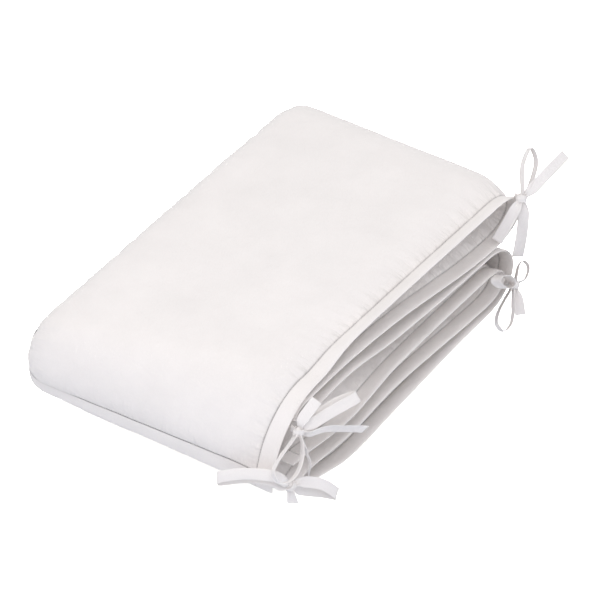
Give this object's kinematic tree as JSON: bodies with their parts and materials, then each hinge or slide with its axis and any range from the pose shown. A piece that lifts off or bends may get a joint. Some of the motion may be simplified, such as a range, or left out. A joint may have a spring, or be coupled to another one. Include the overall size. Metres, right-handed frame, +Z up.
{
  "type": "folded padded crib bumper",
  "caption": "Long padded cloth strip with a flat stitched border, folded into a stack for storage, with cloth ties knotted in bows at its corners.",
  "frame": {"origin": "centre of the base of the folded stack and its ties, on the surface that it rests on", "axes": "+X along the folded length towards the two wide folds, -Y towards the open flanged side, +Z up"},
  "size_m": [0.6778, 0.4436, 0.2478],
  "materials": {
    "percale": "plain white cotton percale, matt",
    "tie_percale": "plain white cotton percale tape, matt, stitched along its edges"
  },
  "bodies": {
    "root": {"bumper": "percale", "tie_top_far": "tie_percale", "tie_low_far": "tie_percale", "tie_low_near": "tie_percale", "tie_top_near": "tie_percale"}
  },
  "joints": []
}
